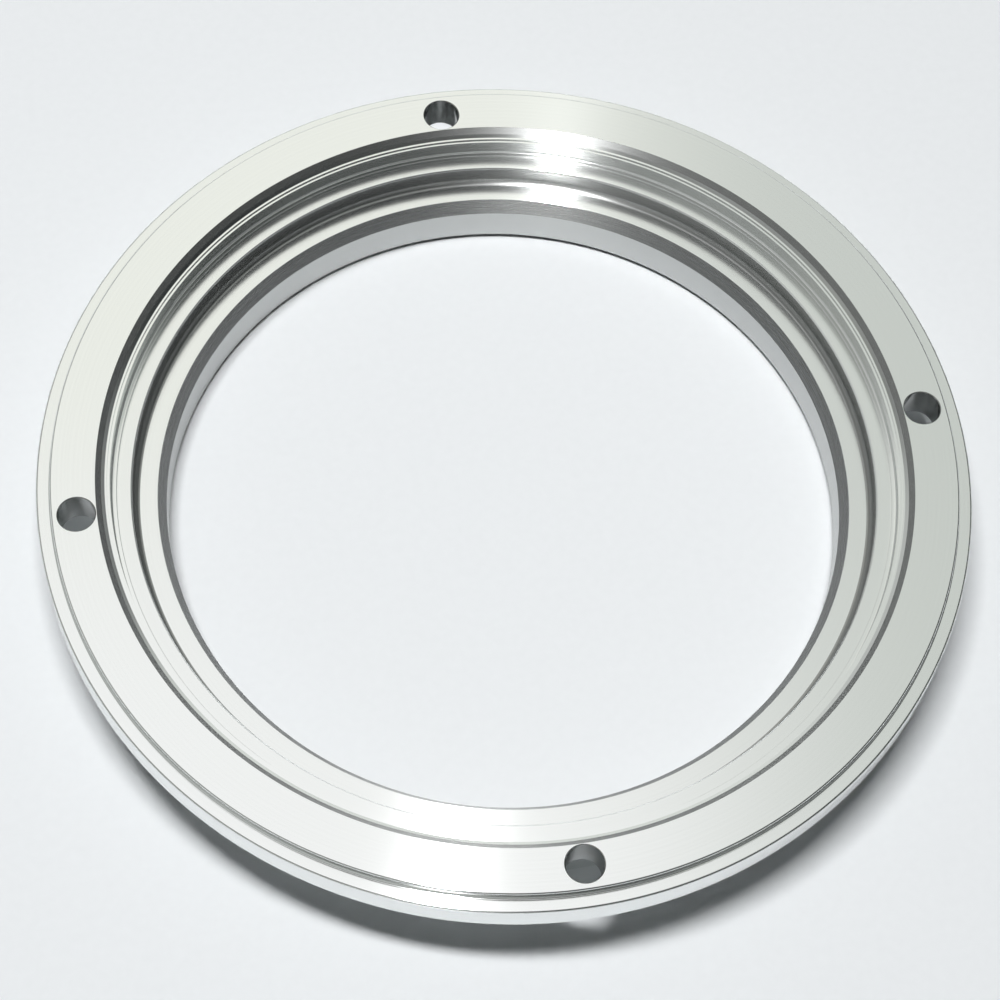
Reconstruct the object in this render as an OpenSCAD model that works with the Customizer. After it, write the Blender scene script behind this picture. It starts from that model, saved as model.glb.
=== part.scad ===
// Optical lens mount: one turned aluminium ring with a stepped lens pocket,
// a bolting flange round the top and a short hub below it.
// Axis along Z, foot of the hub on z = 0. All lengths in millimetres.

/* [Lens pocket] */
// Diameter of the lens that the pocket holds
lens_d = 90; // [60:0.5:130]
// Gap all round between the lens and the pocket wall
lens_gap = 0.5; // [0.1:0.05:0.8]
// Radial width of the flat seat under the lens
seat_w = 2.9; // [1.2:0.05:6]
// Height of the pocket wall, from the seat up to the ledge round the pocket
pocket_h = 2.8; // [1.2:0.05:4.5]
// Bevel on the upper edge of the pocket wall
pocket_bevel = 0.15; // [0.1:0.05:0.7]
// Radius in the corner between the seat and the pocket wall
seat_corner_r = 0.75; // [0.2:0.05:0.9]

/* [Lip under the seat] */
// Radial depth of the sloped lip between the seat and the clear bore
lip_w = 0.95; // [0.4:0.05:3]
// Height of the sloped lip
lip_h = 1.85; // [0.8:0.05:4]

/* [Retaining ring recess] */
// Radial width of the ledge round the lens pocket
ledge_w = 1.8; // [1:0.05:4]
// Height of the shelf above that ledge
shelf_h = 0.35; // [0.2:0.05:1]
// Radial width of the shelf
shelf_w = 0.65; // [0.5:0.05:2]
// Height of the recess wall above the shelf
recess_h = 2.1; // [0.8:0.05:2.6]
// Radial width of the lower step above the recess
low_step_w = 0.35; // [0.1:0.05:0.8]
// Rise from the lower step to the upper one
low_step_h = 0.2; // [0.1:0.05:1.2]
// Radial width of the upper step
top_step_w = 0.25; // [0.1:0.05:0.8]

/* [Mouth] */
// Radial width of the shallow lead-in under the mouth bevel
lead_in_w = 0.4; // [0.2:0.05:1]
// Height of the lead-in
lead_in_h = 0.25; // [0.1:0.05:0.8]
// Bevel round the mouth
mouth_bevel = 0.65; // [0.3:0.05:1.4]

/* [Bolt holes] */
// Number of bolt holes
hole_n = 4; // [3:1:8]
// Diameter of a bolt hole
hole_d = 4.5; // [3:0.1:7]
// Land between a hole and the edge of the mouth
mouth_land = 0.15; // [0.15:0.05:3]
// Land between a hole and the edge of the face
face_land = 0.8; // [0.5:0.05:4]
// Deburring bevel at the upper end of a hole
hole_bevel_top = 0.1; // [0.05:0.05:0.4]
// Deburring bevel at the lower end of a hole
hole_bevel_low = 0.5; // [0.1:0.05:0.8]

/* [Flange] */
// Height of the bolting face above the rim
face_rise = 1.2; // [0.9:0.05:2.5]
// Thickness of the rim
flange_t = 4; // [2.8:0.1:9]
// Radial width of the rim outside the face
rim_w = 1.75; // [1.2:0.05:5]
// Rounding of the face's outer edge
face_round = 0.65; // [0.2:0.05:0.85]
// Rounding of the rim's upper edge
rim_round = 0.6; // [0.2:0.05:0.75]
// Bevel on the rim's lower edge
rim_bevel = 0.15; // [0.05:0.05:0.5]

/* [Hub] */
// Wall of the hub outside the lens pocket
hub_wall = 2.5; // [1.5:0.05:3.5]
// Height of the hub below the flange
hub_h = 8.4; // [6:0.1:20]
// Bevel on both edges of the foot
foot_bevel = 0.6; // [0.2:0.05:1]

/* [Inner corners] */
// Radius that the cutting tool leaves in the other inner corners
nose_r = 0.2; // [0.1:0.05:0.45]

/* [Hidden] */
$fn = 180;

// Radii, from the clear bore outwards
pocket_r = lens_d / 2 + lens_gap;
lip_r = pocket_r - seat_w;
bore_r = lip_r - lip_w;
ledge_r = pocket_r + ledge_w;
recess_r = ledge_r + shelf_w;
low_step_r = recess_r + low_step_w;
top_step_r = low_step_r + top_step_w;
bevel_r = top_step_r + lead_in_w;
mouth_r = bevel_r + mouth_bevel;
bolt_r = mouth_r + mouth_land + hole_d / 2;
face_r = bolt_r + hole_d / 2 + face_land;
rim_r = face_r + rim_w;
hub_r = pocket_r + hub_wall;

// Heights of the outer shoulders, from the foot upwards
flange_z = hub_h;
rim_z = flange_z + flange_t;
face_z = rim_z + face_rise;

// Heights of the inner steps, from the face downwards
bevel_z = face_z - mouth_bevel;
top_step_z = bevel_z - lead_in_h;
low_step_z = top_step_z - low_step_h;
shelf_z = low_step_z - recess_h;
ledge_z = shelf_z - shelf_h;
seat_z = ledge_z - pocket_h;
lip_z = seat_z - lip_h;

// How far the drill runs past the faces that it cuts
drill_over = 1;

ALUMINIUM = "#d3d5d0";

// Area between a square corner at (r, z) and the arc that rounds it.
// dir_r and dir_z point from the corner along its two sides.
module corner_arc(r, z, radius, dir_r, dir_z) {
    translate([r, z])
        scale([dir_r, dir_z])
            difference() {
                square(radius);
                translate([radius, radius])
                    circle(radius);
            }
}

// Straight outline of the ring's wall, radius across and height up:
// up the outside, over the face, then down the steps of the mouth.
module wall_outline() {
    polygon([
        [bore_r + foot_bevel, 0],
        [hub_r - foot_bevel, 0],
        [hub_r, foot_bevel],
        [hub_r, flange_z],
        [rim_r - rim_bevel, flange_z],
        [rim_r, flange_z + rim_bevel],
        [rim_r, rim_z],
        [face_r, rim_z],
        [face_r, face_z],
        [mouth_r, face_z],
        [bevel_r, bevel_z],
        [top_step_r, top_step_z],
        [low_step_r, top_step_z],
        [low_step_r, low_step_z],
        [recess_r, low_step_z],
        [recess_r, shelf_z],
        [ledge_r, shelf_z],
        [ledge_r, ledge_z],
        [pocket_r + pocket_bevel, ledge_z],
        [pocket_r, ledge_z - pocket_bevel],
        [pocket_r, seat_z],
        [lip_r, seat_z],
        [bore_r, lip_z],
        [bore_r, foot_bevel],
    ]);
}

// The wall's section with its outer edges rounded off
// and its inner corners filled to the tool's radius.
module wall_section() {
    difference() {
        wall_outline();
        corner_arc(face_r, face_z, face_round, -1, -1);
        corner_arc(rim_r, rim_z, rim_round, -1, -1);
    }
    corner_arc(hub_r, flange_z, nose_r, 1, -1);
    corner_arc(face_r, rim_z, nose_r, 1, 1);
    corner_arc(recess_r, shelf_z, nose_r, -1, 1);
    corner_arc(pocket_r, seat_z, seat_corner_r, -1, 1);
}

// One bolt hole on its own axis, opened out at both ends.
module bolt_hole() {
    hole_r = hole_d / 2;
    translate([0, 0, flange_z - drill_over])
        cylinder(r = hole_r, h = face_z - flange_z + 2 * drill_over);
    translate([0, 0, face_z - hole_bevel_top])
        cylinder(
            r1 = hole_r,
            r2 = hole_r + hole_bevel_top + drill_over,
            h = hole_bevel_top + drill_over
        );
    translate([0, 0, flange_z - drill_over])
        cylinder(
            r1 = hole_r + hole_bevel_low + drill_over,
            r2 = hole_r,
            h = hole_bevel_low + drill_over
        );
}

// The whole turned ring with its circle of bolt holes.
module mount_ring() {
    color(ALUMINIUM)
        difference() {
            rotate_extrude()
                wall_section();
            for (i = [0 : hole_n - 1])
                rotate(i * 360 / hole_n)
                    translate([bolt_r, 0, 0])
                        bolt_hole();
        }
}

mount_ring();
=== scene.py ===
"""Optical lens mount: one bright turned aluminium ring, standing on a pale studio floor.

Sizes are in millimetres and turned to metres where a mesh, lamp or camera is made.
The ring's axis is Z and its foot stands on z = 0, as in the CAD frame.
"""

import logging
import math
from dataclasses import dataclass, replace
from enum import Enum, IntEnum
from typing import Any

import bpy
import numpy as np
from mathutils import Matrix, Vector

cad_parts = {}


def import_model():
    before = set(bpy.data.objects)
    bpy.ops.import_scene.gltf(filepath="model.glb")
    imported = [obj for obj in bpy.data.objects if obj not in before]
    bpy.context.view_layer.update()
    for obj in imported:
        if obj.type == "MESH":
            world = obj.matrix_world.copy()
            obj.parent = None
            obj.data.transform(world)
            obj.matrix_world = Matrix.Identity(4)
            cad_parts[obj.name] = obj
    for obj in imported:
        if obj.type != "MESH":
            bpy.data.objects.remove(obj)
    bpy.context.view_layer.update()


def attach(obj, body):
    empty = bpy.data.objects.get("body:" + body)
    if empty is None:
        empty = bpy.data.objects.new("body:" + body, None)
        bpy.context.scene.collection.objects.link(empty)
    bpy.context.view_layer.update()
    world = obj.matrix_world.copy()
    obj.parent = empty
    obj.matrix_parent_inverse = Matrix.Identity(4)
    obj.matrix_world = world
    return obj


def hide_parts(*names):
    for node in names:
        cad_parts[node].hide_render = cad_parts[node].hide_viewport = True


LOG = logging.getLogger("lens_mount")
MM = 0.001

# Points closer together than this, in millimetres, are welded into one.
WELD = 1e-5
# Span that most of a noise texture's values lie in.
NOISE_SPAN = (0.3, 0.7)
# A quarter of a full turn, as the shader counts the turn of a streak.
QUARTER_TURN = 0.25
# Sockets of a Mix node that take two colours and give the mixed one.
MIX_A, MIX_B, MIX_OUT = 6, 7, 2


def linear(hex_colour: str) -> tuple[float, float, float, float]:
    """Turns an sRGB hex colour into a linear colour.

    Args:
        hex_colour: Six hex digits after a hash sign.

    Returns:
        Red, green and blue as linear light, and an alpha of one.
    """
    srgb = np.array([int(hex_colour[i : i + 2], 16) for i in (1, 3, 5)]) / 255.0
    light = np.where(srgb <= 0.04045, srgb / 12.92, ((srgb + 0.055) / 1.055) ** 2.4)
    return (*(float(x) for x in light), 1.0)


def add_node(
    tree: bpy.types.NodeTree,
    kind: str,
    settings: dict[str, Any] | None = None,
    sockets: dict[str | int, Any] | None = None,
) -> bpy.types.Node:
    """Adds a node, sets its options and fills its input sockets.

    Args:
        tree: The node tree that takes the node.
        kind: The node's type, as Blender names it.
        settings: Options of the node itself, by attribute name.
        sockets: Inputs by name or number; an output socket is linked, anything else is set.

    Returns:
        The new node.
    """
    node = tree.nodes.new(kind)
    for name, value in (settings or {}).items():
        setattr(node, name, value)
    for name, value in (sockets or {}).items():
        if isinstance(value, bpy.types.NodeSocket):
            tree.links.new(value, node.inputs[name])
        else:
            node.inputs[name].default_value = value
    return node


class Corner(Enum):
    """How a corner of the turned outline is finished."""

    SHARP = "sharp"
    BROKEN = "broken with a fine file"
    NOSE = "filled to the tool's nose radius"
    SEAT = "filled to the radius beside the lens seat"
    FACE = "rounded edge of the bolting face"
    RIM = "rounded edge of the rim"


class Cut(IntEnum):
    """The kind of cut that left a surface; it also picks the surface's roughness and painted
    shade.
    """

    FACED = 0
    TURNED = 1
    CHAMFERED = 2
    BORED = 3
    DRILLED = 4
    BEVELLED = 5
    REAMED = 6


class Side(IntEnum):
    """Numbers of the outline's sides that the bolt holes run through."""

    UNDERSIDE = 3
    FACE = 8


@dataclass(frozen=True)
class Trace:
    """A closed outline cut into short edges, with the way that its surface faces.

    Attributes:
        rings: Radius and height where each edge starts; it ends where the next one starts.
        faces_from: Outward direction at each edge's start, as radius and height.
        faces_to: Outward direction at each edge's end.
        cut: Kind of cut at each edge.
        first: Number of the first edge of each straight side.
        count: How many edges each straight side is cut into.
    """

    rings: np.ndarray
    faces_from: np.ndarray
    faces_to: np.ndarray
    cut: np.ndarray
    first: tuple[int, ...]
    count: tuple[int, ...]


@dataclass(frozen=True)
class Outline:
    """A closed outline of straight sides, run with the metal on its left, with rounded corners.

    Attributes:
        corners: Radius and height of each corner before it is rounded.
        radii: Radius of the arc in each corner, zero where it stays sharp.
        steps: How many edges each arc is cut into.
        count: How many edges the side after each corner is cut into.
        cut: Kind of cut on the side after each corner, and on the arc that ends it.
    """

    corners: np.ndarray
    radii: np.ndarray
    steps: np.ndarray
    count: np.ndarray
    cut: np.ndarray

    def trace(self) -> Trace:
        """Walks the outline side by side and arc by arc.

        A side's outward direction is its own direction turned a quarter turn to the right.
        In a corner that direction swings by the corner's angle, and the arc's points are
        its start plus the radius times the change of direction, with the sign of the turn.

        Returns:
            The outline as short edges.
        """
        ahead = np.roll(self.corners, -1, axis=0) - self.corners
        length = np.linalg.norm(ahead, axis=1)
        along = ahead / length[:, None]
        before = np.roll(along, 1, axis=0)
        turn = np.arctan2(
            before[:, 0] * along[:, 1] - before[:, 1] * along[:, 0],
            (before * along).sum(axis=1),
        )
        trim = self.radii * np.tan(np.abs(turn) / 2)
        outward = np.stack([along[:, 1], -along[:, 0]], axis=1)
        rings, faces_from, faces_to, cut, first = [], [], [], [], []
        for k in range(len(self.corners)):
            nxt = (k + 1) % len(self.corners)
            first.append(sum(len(r) for r in rings))
            share = np.linspace(trim[k], length[k] - trim[nxt], self.count[k] + 1)
            rings.append(self.corners[k] + share[:-1, None] * along[k])
            faces_from.append(np.tile(outward[k], (self.count[k], 1)))
            faces_to.append(faces_from[-1])
            cut.append(np.full(self.count[k], self.cut[k]))
            if self.radii[nxt] > 0:
                swing = np.linspace(0, turn[nxt], self.steps[nxt] + 1)
                facing = np.stack(
                    [
                        outward[k, 0] * np.cos(swing) - outward[k, 1] * np.sin(swing),
                        outward[k, 0] * np.sin(swing) + outward[k, 1] * np.cos(swing),
                    ],
                    axis=1,
                )
                start = self.corners[k] + share[-1] * along[k]
                reach = self.radii[nxt] * np.sign(turn[nxt])
                rings.append((start + reach * (facing - outward[k]))[:-1])
                faces_from.append(facing[:-1])
                faces_to.append(facing[1:])
                cut.append(np.full(self.steps[nxt], self.cut[k]))
        return Trace(
            np.concatenate(rings),
            np.concatenate(faces_from),
            np.concatenate(faces_to),
            np.concatenate(cut),
            tuple(first),
            tuple(int(c) for c in self.count),
        )


@dataclass(frozen=True)
class Patches:
    """Four-sided patches of surface, each corner with its own point and outward direction.

    Attributes:
        points: Corner points, patches by four by three.
        facing: Outward directions at those corners.
        cut: Kind of cut on each patch.
    """

    points: np.ndarray
    facing: np.ndarray
    cut: np.ndarray

    @staticmethod
    def strip(
        points: np.ndarray, facing_a: np.ndarray, facing_b: np.ndarray, cut: np.ndarray
    ) -> "Patches":
        """Fills closed loops of points that lie one inside the other.

        Args:
            points: Holes by loops by points round a loop by three.
            facing_a: Outward direction at each strip's first loop, holes by strips by points
                by three.
            facing_b: Outward direction at each strip's second loop.
            cut: Kind of cut on each strip.

        Returns:
            One patch for each point of each strip.
        """
        near, far = points[:, :-1], points[:, 1:]
        corners = [near, np.roll(near, -1, 2), np.roll(far, -1, 2), far]
        facing = [facing_a, np.roll(facing_a, -1, 2), np.roll(facing_b, -1, 2), facing_b]
        return Patches(
            np.stack(corners, axis=-2).reshape(-1, 4, 3),
            np.stack(facing, axis=-2).reshape(-1, 4, 3),
            np.broadcast_to(cut[None, :, None], near.shape[:3]).ravel(),
        )

    @staticmethod
    def joined(*parts: "Patches") -> "Patches":
        """Puts several sets of patches together."""
        return Patches(
            np.concatenate([p.points for p in parts]),
            np.concatenate([p.facing for p in parts]),
            np.concatenate([p.cut for p in parts]),
        )

    def mesh(self, name: str) -> bpy.types.Mesh:
        """Welds the patches' corners and makes one closed mesh with the given facing.

        Args:
            name: Name of the mesh.

        Returns:
            The mesh in metres, in triangles, without the ones that welding closes up; its
            attribute "cut" holds each triangle's kind of cut.
        """
        flat = self.points.reshape(-1, 3)
        keys = np.round(flat / WELD).astype(np.int64)
        _, first, index = np.unique(keys, axis=0, return_index=True, return_inverse=True)
        quads = index.reshape(-1, 4)
        halves = np.array([[0, 1, 2], [0, 2, 3]])
        triangles = quads[:, halves].reshape(-1, 3)
        facing = self.facing[:, halves].reshape(-1, 3, 3)
        whole = (
            (triangles[:, 0] != triangles[:, 1])
            & (triangles[:, 1] != triangles[:, 2])
            & (triangles[:, 2] != triangles[:, 0])
        )
        mesh = bpy.data.meshes.new(name)
        mesh.from_pydata(flat[first] * MM, [], triangles[whole], shade_flat=False)
        mesh.normals_split_custom_set(facing[whole].reshape(-1, 3))
        cut = np.repeat(self.cut, 2)[whole].astype(np.int32)
        mesh.attributes.new("cut", "INT", "FACE").data.foreach_set("value", cut)
        mesh.update()
        return mesh


@dataclass(frozen=True)
class TurnedAluminium:
    """Bright aluminium, turned on a lathe and left bare.

    Fine tool marks run round the axis on every turned surface, so a lamp's reflection is
    drawn out across them into a bright streak that points at the axis, while surroundings
    mirror almost sharply along them. The facing cut is the finest; the mouth's bevel, the
    pocket's wall, the lip, the bore and the drilled holes keep a coarser cut, and their colour
    is darkened by painted shade that stands in for the dark reflections and shade seen on them.

    Attributes:
        metal: Colour of the clean metal.
        dull: Colour in the deeper tool marks.
        cut_roughness_and_painted_shade: Roughness and painted shade of each kind of cut.
        streak: How strongly the tool marks draw out a reflection.
        mark_pitch: Spacing of the tool marks, drawn coarser than the real feed so that they show.
        mark_depth: Height of the tool marks.
        mark_relief: How strongly that height bends the light.
        mark_uneven: Share by which the roughness strays up and down across the marks.
    """

    metal: str = "#F2F4F3"
    dull: str = "#EEF0EF"
    # Each row: kind of cut, roughness, and painted shade that scales the colour; below one it
    # darkens the bevel, pocket wall, lip, bore and holes to stand in for dark reflections and
    # shade.
    cut_roughness_and_painted_shade: tuple[tuple[Cut, float, float], ...] = (
        (Cut.FACED, 0.088, 1.0),
        (Cut.TURNED, 0.115, 1.0),
        (Cut.CHAMFERED, 0.27, 0.25),
        (Cut.BORED, 0.2, 0.42),
        (Cut.DRILLED, 0.15, 0.41),
        (Cut.BEVELLED, 0.25, 0.36),
        (Cut.REAMED, 0.2, 0.6),
    )
    streak: float = 1.0
    mark_pitch: float = 0.18
    mark_depth: float = 0.0006
    mark_relief: float = 0.06
    mark_uneven: float = 0.04

    def mark(self, mesh: bpy.types.Mesh) -> None:
        """Writes each face's roughness and painted shade, looked up by its kind of cut.

        Args:
            mesh: A mesh whose attribute "cut" holds the kinds of cut.
        """
        kind = np.empty(len(mesh.polygons), np.int32)
        mesh.attributes["cut"].data.foreach_get("value", kind)
        table = np.array([row[1:] for row in sorted(self.cut_roughness_and_painted_shade)])
        # The second column is painted shade: it darkens the colour where the surface should look
        # dark from reflections and shade.
        for column, name in enumerate(("cut_roughness", "cut_painted_shade")):
            layer = mesh.attributes.new(name, "FLOAT", "FACE")
            layer.data.foreach_set("value", table[kind, column])

    def material(self) -> bpy.types.Material:
        """Builds the node material.

        Marks follow radius and height only, so they run round the axis: a noise is read at
        the point (radius, height) divided by the pitch.

        Returns:
            The finished material.
        """
        made = bpy.data.materials.new("turned_aluminium")
        made.use_nodes = True
        tree = made.node_tree
        tree.nodes.clear()
        place = add_node(tree, "ShaderNodeTexCoord").outputs["Object"]
        across = add_node(
            tree, "ShaderNodeVectorMath", {"operation": "MULTIPLY"}, {0: place, 1: (1.0, 1.0, 0.0)}
        ).outputs["Vector"]
        radius = add_node(
            tree, "ShaderNodeVectorMath", {"operation": "LENGTH"}, {0: across}
        ).outputs["Value"]
        height = add_node(tree, "ShaderNodeSeparateXYZ", None, {0: place}).outputs["Z"]
        section = add_node(
            tree, "ShaderNodeCombineXYZ", None, {"X": radius, "Y": height}
        ).outputs["Vector"]
        marks = add_node(
            tree,
            "ShaderNodeTexNoise",
            {"noise_dimensions": "2D"},
            {
                "Vector": section,
                "Scale": 1.0 / (self.mark_pitch * MM),
                "Detail": 2.0,
                "Roughness": 0.6,
            },
        ).outputs["Fac"]
        by_cut = add_node(
            tree, "ShaderNodeAttribute", {"attribute_name": "cut_roughness"}
        ).outputs["Fac"]
        # Painted shade: each face's brightness factor from its kind of cut, which darkens the
        # colour to stand in for dark reflections and shade.
        shade = add_node(
            tree, "ShaderNodeAttribute", {"attribute_name": "cut_painted_shade"}
        ).outputs["Fac"]
        uneven = add_node(
            tree,
            "ShaderNodeMapRange",
            None,
            {
                "Value": marks,
                "From Min": NOISE_SPAN[0],
                "From Max": NOISE_SPAN[1],
                "To Min": 1.0 - self.mark_uneven,
                "To Max": 1.0 + self.mark_uneven,
            },
        ).outputs["Result"]
        roughness = add_node(
            tree, "ShaderNodeMath", {"operation": "MULTIPLY"}, {0: by_cut, 1: uneven}
        ).outputs["Value"]
        colour = add_node(
            tree,
            "ShaderNodeMix",
            {"data_type": "RGBA"},
            {"Factor": marks, MIX_A: linear(self.metal), MIX_B: linear(self.dull)},
        ).outputs[MIX_OUT]
        # The metal's colour darkened by the painted shade.
        colour_with_painted_shade = add_node(
            tree,
            "ShaderNodeMix",
            {"data_type": "RGBA", "blend_type": "MULTIPLY"},
            {"Factor": 1.0, MIX_A: colour, MIX_B: shade},
        ).outputs[MIX_OUT]
        relief = add_node(
            tree,
            "ShaderNodeBump",
            None,
            {
                "Strength": self.mark_relief,
                "Distance": self.mark_depth * MM,
                "Height": marks,
            },
        ).outputs["Normal"]
        round_axis = add_node(
            tree, "ShaderNodeTangent", {"direction_type": "RADIAL", "axis": "Z"}
        ).outputs["Tangent"]
        shader = add_node(
            tree,
            "ShaderNodeBsdfPrincipled",
            None,
            {
                "Base Color": colour_with_painted_shade,
                "Metallic": 1.0,
                "Roughness": roughness,
                "Anisotropic": self.streak,
                "Anisotropic Rotation": QUARTER_TURN,
                "Normal": relief,
                "Tangent": round_axis,
            },
        ).outputs["BSDF"]
        add_node(tree, "ShaderNodeOutputMaterial", None, {"Surface": shader})
        return made


@dataclass(frozen=True)
class WhiteCard:
    """Smooth white card under the part.

    It scatters light evenly, with a faint grain that keeps it from looking painted on.

    Attributes:
        tone: Colour of the card.
        shade: Colour in the grain.
        grain: Size of the card's grain, drawn coarser than the fibres.
        roughness: Roughness of the card.
        sheen: Strength of the little that it mirrors.
        far_tone: Colour that the card fades to far from the part, as the eye sees it.
        near_edge: Distance from the part at which the fade starts.
        far_edge: Distance at which it ends.
    """

    tone: str = "#E9ECEE"
    shade: str = "#E5E8EA"
    grain: float = 1.2
    roughness: float = 0.85
    sheen: float = 0.2
    far_tone: str = "#E8ECEF"
    near_edge: float = 150.0
    far_edge: float = 450.0

    def material(self) -> bpy.types.Material:
        """Builds the node material.

        Near the part the card is lit like anything else. With distance it turns into an even
        glow, for the eye and for mirrors only, so that no horizon shows behind the part.

        Returns:
            The finished material.
        """
        made = bpy.data.materials.new("white_card")
        made.use_nodes = True
        tree = made.node_tree
        tree.nodes.clear()
        place = add_node(tree, "ShaderNodeTexCoord").outputs["Object"]
        fibre = add_node(
            tree,
            "ShaderNodeTexNoise",
            None,
            {"Vector": place, "Scale": 1.0 / (self.grain * MM), "Detail": 2.0},
        ).outputs["Fac"]
        colour = add_node(
            tree,
            "ShaderNodeMix",
            {"data_type": "RGBA"},
            {"Factor": fibre, MIX_A: linear(self.tone), MIX_B: linear(self.shade)},
        ).outputs[MIX_OUT]
        shader = add_node(
            tree,
            "ShaderNodeBsdfPrincipled",
            None,
            {
                "Base Color": colour,
                "Roughness": self.roughness,
                "Specular IOR Level": self.sheen,
            },
        ).outputs["BSDF"]
        distance = add_node(
            tree, "ShaderNodeVectorMath", {"operation": "LENGTH"}, {0: place}
        ).outputs["Value"]
        far = add_node(
            tree,
            "ShaderNodeMapRange",
            {"interpolation_type": "SMOOTHSTEP"},
            {"Value": distance, "From Min": self.near_edge * MM, "From Max": self.far_edge * MM},
        ).outputs["Result"]
        path = add_node(tree, "ShaderNodeLightPath").outputs
        seen = add_node(
            tree,
            "ShaderNodeMath",
            {"operation": "MAXIMUM"},
            {0: path["Is Camera Ray"], 1: path["Is Glossy Ray"]},
        ).outputs["Value"]
        share = add_node(
            tree, "ShaderNodeMath", {"operation": "MULTIPLY"}, {0: far, 1: seen}
        ).outputs["Value"]
        glow = add_node(
            tree, "ShaderNodeEmission", None, {"Color": linear(self.far_tone), "Strength": 1.0}
        ).outputs["Emission"]
        faded = add_node(
            tree, "ShaderNodeMixShader", None, {0: share, 1: shader, 2: glow}
        ).outputs["Shader"]
        add_node(tree, "ShaderNodeOutputMaterial", None, {"Surface": faded})
        return made


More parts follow.
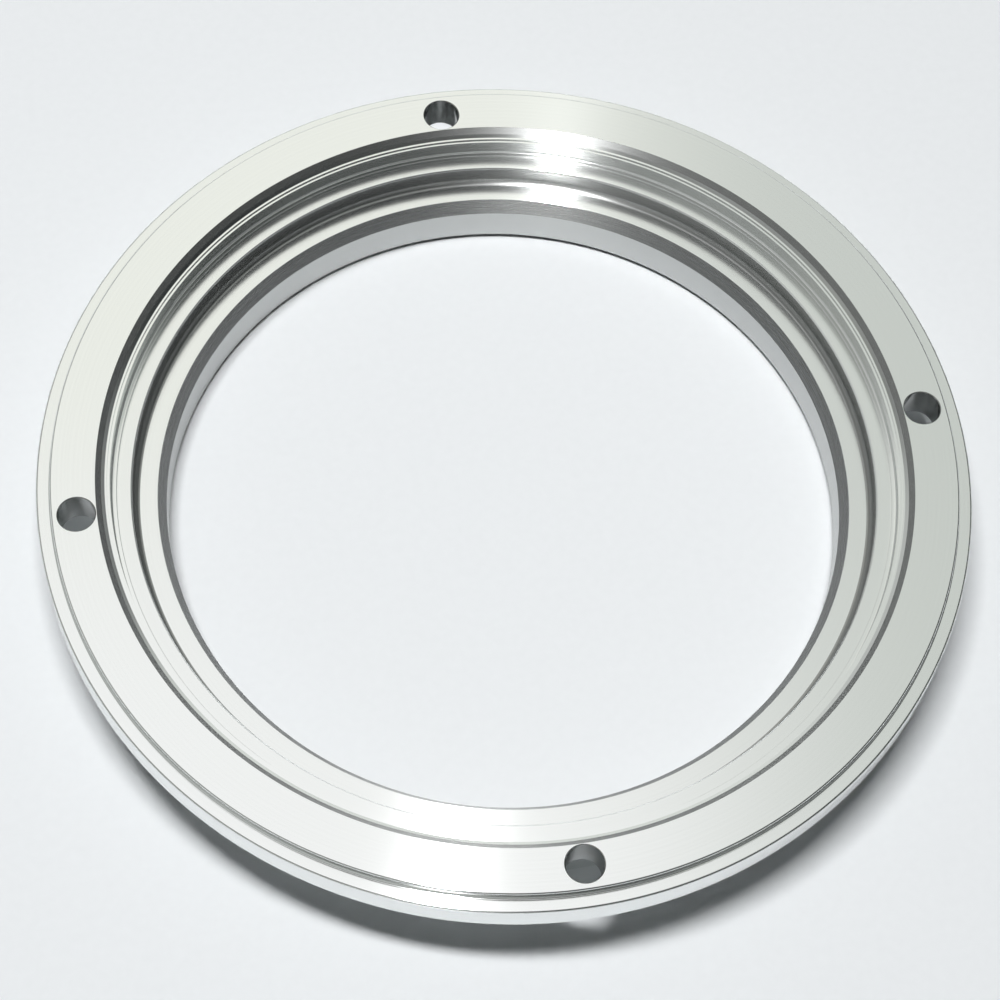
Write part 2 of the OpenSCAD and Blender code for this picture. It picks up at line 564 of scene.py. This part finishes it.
@dataclass(frozen=True)
class MountRing:
    """The whole ring, turned from one blank and drilled.

    Radii and heights repeat the CAD part's own, so the piece takes the CAD node's place. Only
    the outer edges of the face and the rim are a little crisper than the CAD part's.

    Attributes:
        bore_r: Radius of the clear bore.
        lip_r: Radius of the seat's inner edge.
        pocket_r: Radius of the lens pocket.
        ledge_r: Radius of the ledge round the pocket.
        hub_r: Radius of the hub.
        recess_r: Radius of the recess above the shelf.
        low_step_r: Radius of the narrow step over the recess.
        lead_r: Radius at the foot of the lead-in.
        bevel_r: Radius at the foot of the mouth's bevel.
        mouth_r: Radius of the mouth at the face.
        bolt_r: Radius of the bolt circle.
        face_r: Radius of the bolting face.
        rim_r: Radius of the rim.
        lip_z: Height of the lip's lower end.
        seat_z: Height of the lens seat.
        flange_z: Height of the flange's underside.
        ledge_z: Height of the ledge round the pocket.
        shelf_z: Height of the shelf round the ledge.
        low_step_z: Height of the narrow step over the recess.
        rim_z: Height of the rim's upper side.
        lead_z: Height of the lead-in's foot.
        bevel_z: Height of the mouth bevel's foot.
        face_z: Height of the bolting face.
        pocket_bevel: Bevel on the pocket's upper edge.
        seat_corner_r: Radius in the corner between the seat and the pocket's wall.
        foot_bevel: Bevel on both edges of the foot.
        rim_bevel: Bevel on the rim's lower edge.
        face_round: Rounding of the face's outer edge.
        rim_round: Rounding of the rim's upper edge.
        nose_r: Radius that the tool leaves in inner corners.
        broken_r: Radius of an edge that is only broken with a file.
        hole_r: Radius of a bolt hole.
        hole_bevel_top: Deburring bevel at a hole's upper end.
        hole_bevel_low: Deburring bevel at a hole's lower end.
        holes: Number of bolt holes.
        hole_half_turn: Half the angle round a hole that is meshed finely, in degrees.
        hole_steps: Steps in that angle.
        plain_steps: Steps from one such angle to the next.
        side_steps: Steps across the face and across the flange's underside.
        wall_steps: Steps down a hole's wall.
    """

    bore_r: float = 41.65
    lip_r: float = 42.6
    pocket_r: float = 45.5
    ledge_r: float = 47.3
    hub_r: float = 48.0
    recess_r: float = 47.95
    low_step_r: float = 48.3
    lead_r: float = 48.55
    bevel_r: float = 48.95
    mouth_r: float = 49.6
    bolt_r: float = 52.0
    face_r: float = 55.05
    rim_r: float = 56.8
    lip_z: float = 5.4
    seat_z: float = 7.25
    flange_z: float = 8.4
    ledge_z: float = 10.05
    shelf_z: float = 10.4
    low_step_z: float = 12.5
    rim_z: float = 12.4
    lead_z: float = 12.7
    bevel_z: float = 12.95
    face_z: float = 13.6
    pocket_bevel: float = 0.15
    seat_corner_r: float = 0.75
    foot_bevel: float = 0.6
    rim_bevel: float = 0.15
    face_round: float = 0.25
    rim_round: float = 0.3
    nose_r: float = 0.2
    broken_r: float = 0.06
    hole_r: float = 2.25
    hole_bevel_top: float = 0.1
    hole_bevel_low: float = 0.5
    holes: int = 4
    hole_half_turn: float = 4.5
    hole_steps: int = 36
    plain_steps: int = 84
    side_steps: int = 10
    wall_steps: int = 5

    def outline(self) -> Outline:
        """Lists the corners of the ring's section, up the outside and down the inside.

        Each row of the plan gives a corner's radius, height and finish, then the steps and the
        kind of cut of the side that runs on from it.

        Returns:
            The section's outline, radius first and height second.
        """
        # The kind of cut on each side also picks its painted shade, which darkens the bevel, the
        # pocket's wall, the lip and the bore.
        plan = (
            (self.bore_r + self.foot_bevel, 0.0, Corner.BROKEN, 1, Cut.FACED),
            (self.hub_r - self.foot_bevel, 0.0, Corner.BROKEN, 1, Cut.TURNED),
            (self.hub_r, self.foot_bevel, Corner.BROKEN, 1, Cut.TURNED),
            (self.hub_r, self.flange_z, Corner.NOSE, self.side_steps, Cut.FACED),
            (self.rim_r - self.rim_bevel, self.flange_z, Corner.BROKEN, 1, Cut.TURNED),
            (self.rim_r, self.flange_z + self.rim_bevel, Corner.BROKEN, 1, Cut.TURNED),
            (self.rim_r, self.rim_z, Corner.RIM, 1, Cut.FACED),
            (self.face_r, self.rim_z, Corner.NOSE, 1, Cut.FACED),
            (self.face_r, self.face_z, Corner.FACE, self.side_steps, Cut.FACED),
            (self.mouth_r, self.face_z, Corner.SHARP, 1, Cut.BEVELLED),
            (self.bevel_r, self.bevel_z, Corner.SHARP, 1, Cut.TURNED),
            (self.lead_r, self.lead_z, Corner.SHARP, 1, Cut.TURNED),
            (self.low_step_r, self.lead_z, Corner.SHARP, 1, Cut.TURNED),
            (self.low_step_r, self.low_step_z, Corner.SHARP, 1, Cut.TURNED),
            (self.recess_r, self.low_step_z, Corner.SHARP, 1, Cut.TURNED),
            (self.recess_r, self.shelf_z, Corner.NOSE, 1, Cut.TURNED),
            (self.ledge_r, self.shelf_z, Corner.BROKEN, 1, Cut.TURNED),
            (self.ledge_r, self.ledge_z, Corner.SHARP, 1, Cut.TURNED),
            (self.pocket_r + self.pocket_bevel, self.ledge_z, Corner.BROKEN, 1, Cut.TURNED),
            (self.pocket_r, self.ledge_z - self.pocket_bevel, Corner.BROKEN, 1, Cut.BORED),
            (self.pocket_r, self.seat_z, Corner.SEAT, 1, Cut.TURNED),
            (self.lip_r, self.seat_z, Corner.BROKEN, 1, Cut.CHAMFERED),
            (self.bore_r, self.lip_z, Corner.BROKEN, 1, Cut.REAMED),
            (self.bore_r, self.foot_bevel, Corner.BROKEN, 1, Cut.CHAMFERED),
        )
        radius = {
            Corner.SHARP: 0.0,
            Corner.BROKEN: self.broken_r,
            Corner.NOSE: self.nose_r,
            Corner.SEAT: self.seat_corner_r,
            Corner.FACE: self.face_round,
            Corner.RIM: self.rim_round,
        }
        steps = {
            Corner.SHARP: 1,
            Corner.BROKEN: 3,
            Corner.NOSE: 8,
            Corner.SEAT: 10,
            Corner.FACE: 10,
            Corner.RIM: 10,
        }
        return Outline(
            np.array([row[:2] for row in plan]),
            np.array([radius[row[2]] for row in plan]),
            np.array([steps[row[2]] for row in plan]),
            np.array([row[3] for row in plan]),
            np.array([row[4] for row in plan]),
        )

    def angles(self) -> np.ndarray:
        """Angles of the section's copies round the axis, closer together at the bolt holes.

        Returns:
            Angles in radians; each hole's fine span starts its share of them.
        """
        half = math.radians(self.hole_half_turn)
        share = 2 * math.pi / self.holes
        fine = np.linspace(-half, half, self.hole_steps + 1)[:-1]
        plain = np.linspace(half, share - half, self.plain_steps + 1)[:-1]
        one = np.concatenate([fine, plain])
        return (one[None] + share * np.arange(self.holes)[:, None]).ravel()

    def lathe(self, trace: Trace) -> np.ndarray:
        """Carries the section round the axis.

        A point of ring i at angle a is (radius i times cos a, radius i times sin a, height i).

        Args:
            trace: The section as short edges.

        Returns:
            Points, rings by angles by three.
        """
        angle = self.angles()
        spin = np.stack([np.cos(angle), np.sin(angle), np.ones_like(angle)], axis=-1)
        return trace.rings[:, None, [0, 0, 1]] * spin[None]

    def turned(self, trace: Trace, points: np.ndarray) -> Patches:
        """Makes patches of the turned surface, leaving room for the holes' own.

        Args:
            trace: The section as short edges.
            points: Rings by angles by three.

        Returns:
            The patches, each facing as its edge of the section does.
        """
        angle = self.angles()
        spin = np.stack([np.cos(angle), np.sin(angle)], axis=-1)

        def swept(lean: np.ndarray) -> np.ndarray:
            """Turns the section's outward directions to every angle.

            Args:
                lean: Directions as radius and height, one for each edge.

            Returns:
                Directions, edges by angles by three.
            """
            flat = lean[:, None, :1] * spin[None]
            rise = np.repeat(lean[:, None, 1:], len(angle), axis=1)
            return np.concatenate([flat, rise], axis=-1)

        here, over = points, np.roll(points, -1, axis=0)
        near, far = swept(trace.faces_from), swept(trace.faces_to)
        corners = np.stack([here, np.roll(here, -1, 1), np.roll(over, -1, 1), over], axis=2)
        facing = np.stack([near, np.roll(near, -1, 1), np.roll(far, -1, 1), far], axis=2)
        per_hole = self.hole_steps + self.plain_steps
        at_hole = np.arange(len(angle)) % per_hole < self.hole_steps
        drilled = np.zeros(len(points), bool)
        for side in Side:
            drilled[trace.first[side] : trace.first[side] + trace.count[side]] = True
        kept = ~(drilled[:, None] & at_hole[None])
        cut = np.repeat(trace.cut[:, None], len(angle), axis=1)
        return Patches(corners[kept], facing[kept], cut[kept])

    def frame_round_hole(self, points: np.ndarray, outer: int, inner: int) -> np.ndarray:
        """Walks round the room left for each hole: along the outer ring, in, back and out.

        Args:
            points: Rings by angles by three.
            outer: Number of the outer ring.
            inner: Number of the inner ring.

        Returns:
            Holes by points by three.
        """
        way = 1 if inner > outer else -1
        across = np.arange(outer, inner, way)
        back = np.arange(inner, outer, -way)
        along = np.arange(self.hole_steps)
        ring = np.concatenate(
            [np.full_like(along, outer), across, np.full_like(along, inner), back]
        )
        step = np.concatenate(
            [
                along,
                np.full_like(across, self.hole_steps),
                self.hole_steps - along,
                np.zeros_like(back),
            ]
        )
        per_hole = self.hole_steps + self.plain_steps
        start = per_hole * np.arange(self.holes)
        return points[ring[None], (start[:, None] + step[None]) % points.shape[1]]

    def drilled(self, trace: Trace, points: np.ndarray) -> Patches:
        """Makes patches of the holes: flat, upper bevel, wall, lower bevel, flat.

        Loops of points run round each hole's axis from the room's edge on top to the room's
        edge below. A loop's points lie at its radius in the direction of the room's edge; on
        the wall that direction turns evenly from the upper room's to the lower one's.

        Args:
            trace: The section as short edges.
            points: Rings by angles by three.

        Returns:
            The patches.
        """
        share = 2 * math.pi / self.holes * np.arange(self.holes)
        axis = self.bolt_r * np.stack([np.cos(share), np.sin(share)], axis=-1)[:, None]
        ends = [(trace.first[side], trace.first[side] + trace.count[side]) for side in Side]
        low = self.frame_round_hole(points, *reversed(ends[0]))
        top = self.frame_round_hole(points, *ends[1])

        def around(edge: np.ndarray) -> np.ndarray:
            """Directions of a room's edge as seen from its hole's axis."""
            out = edge[..., :2] - axis
            return np.arctan2(out[..., 1], out[..., 0])

        def loop(radius: float, way: np.ndarray, height: float) -> np.ndarray:
            """Points at a radius, direction and height about each hole's axis."""
            flat = axis + radius * np.stack([np.cos(way), np.sin(way)], axis=-1)
            return np.concatenate([flat, np.full((*way.shape, 1), height)], axis=-1)

        def leaning(way: np.ndarray, rise: float) -> np.ndarray:
            """Directions towards each hole's axis, tilted up or down.

            Args:
                way: Directions round the axis, in radians.
                rise: How far a direction climbs for each unit towards the axis.

            Returns:
                Directions of length one, holes by points by three.
            """
            flat = -np.stack([np.cos(way), np.sin(way)], axis=-1)
            tilted = np.concatenate([flat, np.full((*way.shape, 1), rise)], axis=-1)
            return tilted / math.hypot(1.0, rise)

        way_top, way_low = around(top), around(low)
        top_edge = loop(self.hole_r + self.hole_bevel_top, way_top, self.face_z)
        turn = (way_low - way_top + math.pi) % (2 * math.pi) - math.pi
        ways = [way_top + turn * t for t in np.linspace(0, 1, self.wall_steps + 1)]
        drop = np.linspace(
            self.face_z - self.hole_bevel_top,
            self.flange_z + self.hole_bevel_low,
            self.wall_steps + 1,
        )
        wall = [loop(self.hole_r, w, z) for w, z in zip(ways, drop)]
        low_edge = loop(self.hole_r + self.hole_bevel_low, way_low, self.flange_z)
        up = np.broadcast_to(np.array([0.0, 0.0, 1.0]), top.shape)
        inward = [leaning(w, 0.0) for w in ways]
        first = [up, leaning(way_top, 1.0), *inward[:-1], leaning(way_low, -1.0), -up]
        second = [up, leaning(way_top, 1.0), *inward[1:], leaning(way_low, -1.0), -up]
        loops = [top, top_edge, *wall, low_edge, low]
        # The holes' drilled cut also darkens their walls with painted shade.
        cut = np.array([Cut.FACED, *[Cut.DRILLED] * (self.wall_steps + 2), Cut.FACED])
        return Patches.strip(np.stack(loops, 1), np.stack(first, 1), np.stack(second, 1), cut)

    def build(self) -> bpy.types.Object:
        """Builds the ring as one closed mesh that stands for the CAD node.

        Returns:
            The ring's object, at the origin.
        """
        trace = self.outline().trace()
        points = self.lathe(trace)
        patches = Patches.joined(self.turned(trace, points), self.drilled(trace, points))
        ring = bpy.data.objects.new("turned_mount_ring", patches.mesh("turned_mount_ring"))
        bpy.context.scene.collection.objects.link(ring)
        return ring

    def dress(self, ring: bpy.types.Object, finish: TurnedAluminium) -> None:
        """Gives the ring its finish and its place in the frame.

        Args:
            ring: The ring's object.
            finish: The metal's finish.
        """
        finish.mark(ring.data)
        ring.data.materials.append(finish.material())
        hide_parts("mount_ring")
        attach(ring, "root")


class LampShape(Enum):
    """Shape of a light's glowing face, as Blender names it."""

    ROUND = "DISK"
    OBLONG = "RECTANGLE"


@dataclass(frozen=True)
class Lamp:
    """A light overhead that faces the middle of the part's foot.

    Attributes:
        name: Name of the light.
        at: Where it hangs.
        shape: Shape of its glowing face.
        sides: Width and length of that face.
        watts: Power of the light.
        lights_floor: Whether it falls on matt surfaces such as the floor.
        mirrored: Whether it shows in the metal.
    """

    name: str
    at: tuple[float, float, float]
    shape: LampShape
    sides: tuple[float, float]
    watts: float
    lights_floor: bool
    mirrored: bool

    def hang(self) -> bpy.types.Object:
        """Hangs the light in its place.

        Returns:
            The light's object.
        """
        data = bpy.data.lights.new(self.name, "AREA")
        data.shape = self.shape.value
        data.size, data.size_y = (side * MM for side in self.sides)
        data.energy = self.watts
        light = bpy.data.objects.new(self.name, data)
        at = Vector(self.at) * MM
        facing = at.to_track_quat("Z", "Y").to_matrix().to_4x4()
        light.matrix_world = Matrix.Translation(at) @ facing
        light.visible_diffuse = self.lights_floor
        light.visible_glossy = self.mirrored
        bpy.context.scene.collection.objects.link(light)
        return light


class Measure(Enum):
    """What a fade in the surroundings follows."""

    RISE = "how steeply a direction rises"
    AWAY = "how far it leads away from the camera"
    LEFT = "how far it leads to the camera's left"
    LID_AWAY = "how far away it meets a level lid one unit up"
    LID_LEFT = "how far to the left it meets that lid"


@dataclass(frozen=True)
class Fade:
    """A smooth step from nothing to everything.

    Attributes:
        along: What the step follows.
        start: Value at which it starts.
        end: Value at which it ends; below the start, the step runs the other way.
    """

    along: Measure
    start: float
    end: float


@dataclass(frozen=True)
class Field:
    """A field of colour in the surroundings, with other fields laid over it in turn.

    Attributes:
        colour: Colour of the field itself.
        fades: Where it shows on the field below; their values are multiplied.
        over: Fields that lie on it.
    """

    colour: str
    fades: tuple[Fade, ...] = ()
    over: tuple["Field", ...] = ()


@dataclass(frozen=True)
class Surroundings:
    """The room that the bright metal mirrors.

    The face mirrors the panel overhead, and the steps and bevels mirror what lies beside it.
    The floor gets only a faint fill, and the camera sees a plain backdrop.

    Attributes:
        bearing: Turn of the room about the part, to face the camera, in degrees.
        ceiling: Dark ceiling round the panel, lighter to the left.
        beside: Grey patch of ceiling to the left of the panel.
        walls: Walls, lighter to the left.
        far_wall: Pale wall away from the camera.
        panel: Bright panel overhead, with its brightest part near the camera.
        backdrop: Colour behind the floor, where the camera sees past it.
        fill: Strength of the room as light on the floor.
        mirrored: Strength of the room as the metal mirrors it.
    """

    bearing: float = 14.0
    ceiling: Field = Field("#303232", (), (Field("#727472", (Fade(Measure.LEFT, -0.7, 0.5),)),))
    beside: Field = Field(
        "#8F918F", (Fade(Measure.RISE, 0.6, 0.8), Fade(Measure.LID_LEFT, 0.1, 0.6))
    )
    walls: Field = Field(
        "#7E807F",
        (Fade(Measure.RISE, 0.62, 0.5),),
        (Field("#BEC0BE", (Fade(Measure.LEFT, -0.7, 0.5),)),),
    )
    far_wall: Field = Field("#E2E5E1", (Fade(Measure.AWAY, 0.76, 0.94),))
    panel: Field = Field(
        "#D0D4CF",
        (
            Fade(Measure.LID_LEFT, 1.2, 0.8),
            Fade(Measure.LID_LEFT, -0.55, -0.35),
            Fade(Measure.LID_AWAY, -0.24, -0.04),
            Fade(Measure.LID_AWAY, 1.5, 0.85),
        ),
        (
            Field("#F9FAF3", (Fade(Measure.LID_LEFT, -0.15, 0.05),)),
            Field(
                "#FFFFFF",
                (Fade(Measure.LID_AWAY, 0.62, 0.4), Fade(Measure.LID_LEFT, -0.21, -0.04)),
            ),
            Field("#9C9E9A", (Fade(Measure.LID_LEFT, 0.3, 0.5),)),
        ),
    )
    backdrop: str = "#E8ECEF"
    fill: float = 0.11
    mirrored: float = 1.0

    def measures(self, tree: bpy.types.NodeTree) -> dict[Measure, bpy.types.NodeSocket]:
        """Works out what the fades follow, from the direction of sight.

        A direction meets the lid at the direction divided by its own rise. How far it leads
        along a level axis is its dot product with that axis.

        Args:
            tree: The world's node tree.

        Returns:
            A value for each measure.
        """
        turn = math.radians(self.bearing)
        away = (math.sin(turn), math.cos(turn), 0.0)
        left = (-math.cos(turn), math.sin(turn), 0.0)
        way = add_node(tree, "ShaderNodeTexCoord").outputs["Generated"]
        rise = add_node(tree, "ShaderNodeSeparateXYZ", None, {0: way}).outputs["Z"]
        level = add_node(
            tree, "ShaderNodeCombineXYZ", None, {"X": rise, "Y": rise, "Z": rise}
        ).outputs["Vector"]
        on_lid = add_node(
            tree, "ShaderNodeVectorMath", {"operation": "DIVIDE"}, {0: way, 1: level}
        ).outputs["Vector"]
        found = {Measure.RISE: rise}
        for measure, place, axis in (
            (Measure.AWAY, way, away),
            (Measure.LEFT, way, left),
            (Measure.LID_AWAY, on_lid, away),
            (Measure.LID_LEFT, on_lid, left),
        ):
            found[measure] = add_node(
                tree, "ShaderNodeVectorMath", {"operation": "DOT_PRODUCT"}, {0: place, 1: axis}
            ).outputs["Value"]
        return found

    def paint(
        self,
        tree: bpy.types.NodeTree,
        measures: dict[Measure, bpy.types.NodeSocket],
        field: Field,
    ) -> bpy.types.NodeSocket | tuple[float, ...]:
        """Mixes into a field's colour those of the fields on it, each by the product of its fades.

        Args:
            tree: The world's node tree.
            measures: What the fades follow.
            field: The field to paint.

        Returns:
            The painted colour, plain where nothing lies on the field.
        """
        colour: bpy.types.NodeSocket | tuple[float, ...] = linear(field.colour)
        for upper in field.over:
            share: bpy.types.NodeSocket | float = 1.0
            for fade in upper.fades:
                step = add_node(
                    tree,
                    "ShaderNodeMapRange",
                    {"interpolation_type": "SMOOTHSTEP"},
                    {"Value": measures[fade.along], "From Min": fade.start, "From Max": fade.end},
                ).outputs["Result"]
                share = add_node(
                    tree, "ShaderNodeMath", {"operation": "MULTIPLY"}, {0: share, 1: step}
                ).outputs["Value"]
            colour = add_node(
                tree,
                "ShaderNodeMix",
                {"data_type": "RGBA"},
                {"Factor": share, MIX_A: colour, MIX_B: self.paint(tree, measures, upper)},
            ).outputs[MIX_OUT]
        return colour

    def world(self) -> bpy.types.World:
        """Builds the world from the room's fields and the backdrop.

        Returns:
            The finished world.
        """
        made = bpy.data.worlds.new("studio")
        made.use_nodes = True
        tree = made.node_tree
        tree.nodes.clear()
        laid = (*self.ceiling.over, self.beside, self.walls, self.far_wall, self.panel)
        room = self.paint(tree, self.measures(tree), replace(self.ceiling, over=laid))
        path = add_node(tree, "ShaderNodeLightPath").outputs
        colour = add_node(
            tree,
            "ShaderNodeMix",
            {"data_type": "RGBA"},
            {"Factor": path["Is Camera Ray"], MIX_A: room, MIX_B: linear(self.backdrop)},
        ).outputs[MIX_OUT]
        unseen = add_node(
            tree,
            "ShaderNodeMapRange",
            None,
            {"Value": path["Is Glossy Ray"], "To Min": self.fill, "To Max": self.mirrored},
        ).outputs["Result"]
        strength = add_node(
            tree,
            "ShaderNodeMath",
            {"operation": "MAXIMUM"},
            {0: unseen, 1: path["Is Camera Ray"]},
        ).outputs["Value"]
        glow = add_node(
            tree, "ShaderNodeBackground", None, {"Color": colour, "Strength": strength}
        ).outputs["Background"]
        add_node(tree, "ShaderNodeOutputWorld", None, {"Surface": glow})
        return made


@dataclass(frozen=True)
class Studio:
    """Pale floor, two lights, the room round them and the camera.

    Attributes:
        floor_half: Half the floor's width.
        floor_gap: Hair's breadth between the floor and the foot, which keeps the two apart.
        lamp: Small round lamp that draws the streak in the metal.
        key: Long soft light that gives the part its shadow on the floor.
        room: What surrounds the part.
        eye: Where the camera stands.
        aim: Point that the camera looks at.
        roll: Turn of the camera about its own line of sight, in degrees.
        lens: Focal length of the camera.
        sensor: Width of the camera's sensor.
        nearest: Distance from which the camera sees.
    """

    floor_half: float = 6000.0
    floor_gap: float = 0.02
    lamp: Lamp = Lamp(
        name="lamp",
        at=(-38.0, -48.0, 843.0),
        shape=LampShape.ROUND,
        sides=(40.0, 40.0),
        watts=12.0,
        lights_floor=False,
        mirrored=True,
    )
    key: Lamp = Lamp(
        name="key",
        at=(-90.0, 30.0, 1000.0),
        shape=LampShape.OBLONG,
        sides=(110.0, 420.0),
        watts=9.9,
        lights_floor=True,
        mirrored=False,
    )
    room: Surroundings = Surroundings()
    eye: tuple[float, float, float] = (-36.477, -142.657, 278.570)
    aim: tuple[float, float, float] = (-1.823, -5.293, 13.6)
    roll: float = 5.2786
    lens: float = 90.08
    sensor: float = 36.0
    nearest: float = 10.0

    def lay_floor(self, finish: WhiteCard) -> bpy.types.Object:
        """Lays the floor under the part.

        Args:
            finish: The floor's finish.

        Returns:
            The floor's object.
        """
        corner = np.array([[-1, -1], [1, -1], [1, 1], [-1, 1]]) * self.floor_half
        corner = np.column_stack([corner, np.full(4, -self.floor_gap)]) * MM
        mesh = bpy.data.meshes.new("floor")
        mesh.from_pydata(corner, [], [[0, 1, 2, 3]])
        mesh.materials.append(finish.material())
        floor = bpy.data.objects.new("floor", mesh)
        bpy.context.scene.collection.objects.link(floor)
        return floor

    def light(self) -> None:
        """Hangs the two lights and sets the room round the part."""
        for lamp in (self.lamp, self.key):
            light = lamp.hang()
            LOG.info("%s: light", light.name)
        bpy.context.scene.world = self.room.world()

    def set_camera(self) -> bpy.types.Object:
        """Sets up the camera at the photograph's viewing angle.

        Returns:
            The camera's object.
        """
        data = bpy.data.cameras.new("camera")
        data.sensor_width = self.sensor
        data.lens = self.lens
        data.clip_start = self.nearest * MM
        camera = bpy.data.objects.new("camera", data)
        eye, aim = Vector(self.eye) * MM, Vector(self.aim) * MM
        sight = (eye - aim).to_track_quat("Z", "Y").to_matrix().to_4x4()
        tilt = Matrix.Rotation(math.radians(self.roll), 4, "Z")
        camera.matrix_world = Matrix.Translation(eye) @ sight @ tilt
        bpy.context.scene.collection.objects.link(camera)
        bpy.context.scene.camera = camera
        return camera


def main() -> None:
    """Builds the ring, then the studio round it, and reports each piece."""
    logging.basicConfig(level=logging.INFO, format="%(name)s: %(message)s")
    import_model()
    bpy.context.scene.view_settings.view_transform = "Standard"
    studio = Studio()
    studio.set_camera()
    mount = MountRing()
    ring = mount.build()
    mount.dress(ring, TurnedAluminium())
    LOG.info("%s: %d triangles", ring.name, len(ring.data.polygons))
    floor = studio.lay_floor(WhiteCard())
    LOG.info("%s: stage", floor.name)
    studio.light()


if __name__ == "__main__":
    main()
